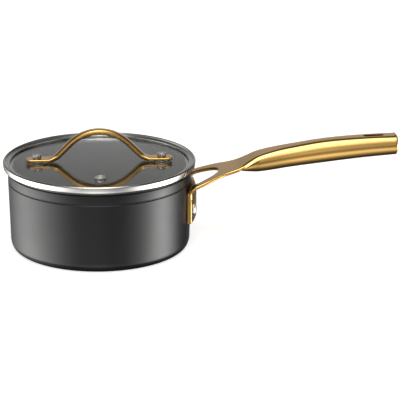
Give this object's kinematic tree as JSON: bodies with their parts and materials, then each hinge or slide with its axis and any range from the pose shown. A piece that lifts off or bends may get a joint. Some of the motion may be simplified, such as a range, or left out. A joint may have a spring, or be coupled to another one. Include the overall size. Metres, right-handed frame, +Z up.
{
  "type": "saucepan with glass lid",
  "caption": "Straight-sided saucepan with a long hollow forked handle and a lift-off glass lid with an arched strap handle and a steam vent.",
  "frame": {"origin": "centre of the base's underside, on the steel disc's lower face, at z = 0", "axes": "+X out along the long handle, +Z up along the pan's axis, +Y to the left when looking out along the handle; the steam vent is on the -Y side"},
  "size_m": [0.3452, 0.168, 0.105],
  "materials": {
    "anodised_body": "hard-anodised, dark grey, satin",
    "base_steel": "brushed in circles",
    "gold_steel": "gold-coloured coating on polished steel, satin gloss",
    "fixing_steel": "polished",
    "band_steel": "brushed around the lid",
    "lid_glass": "clear tempered glass",
    "silicone": "translucent grey silicone"
  },
  "bodies": {
    "pan": {"pan_body": "anodised_body", "induction_disc": "base_steel", "handle_bracket": "gold_steel", "grip_shell": "gold_steel", "hang_hole_sleeve": "gold_steel", "handle_end_cap": "gold_steel", "handle_rivet_near": "fixing_steel", "handle_rivet_far": "fixing_steel"},
    "lid": {"lid_glass": "lid_glass", "lid_rim": "band_steel", "lid_handle": "gold_steel", "lid_screw_left": "fixing_steel", "foot_gasket_left": "silicone", "under_washer_left": "silicone", "lid_nut_left": "fixing_steel", "lid_screw_right": "fixing_steel", "foot_gasket_right": "silicone", "under_washer_right": "silicone", "lid_nut_right": "fixing_steel", "vent_eyelet": "fixing_steel", "vent_gasket": "silicone"}
  },
  "joints": [
    {"name": "lid_lift", "type": "slide", "parent": "pan", "child": "lid", "axis": [0, 0, 1], "range_m": [0, 0.12]}
  ]
}
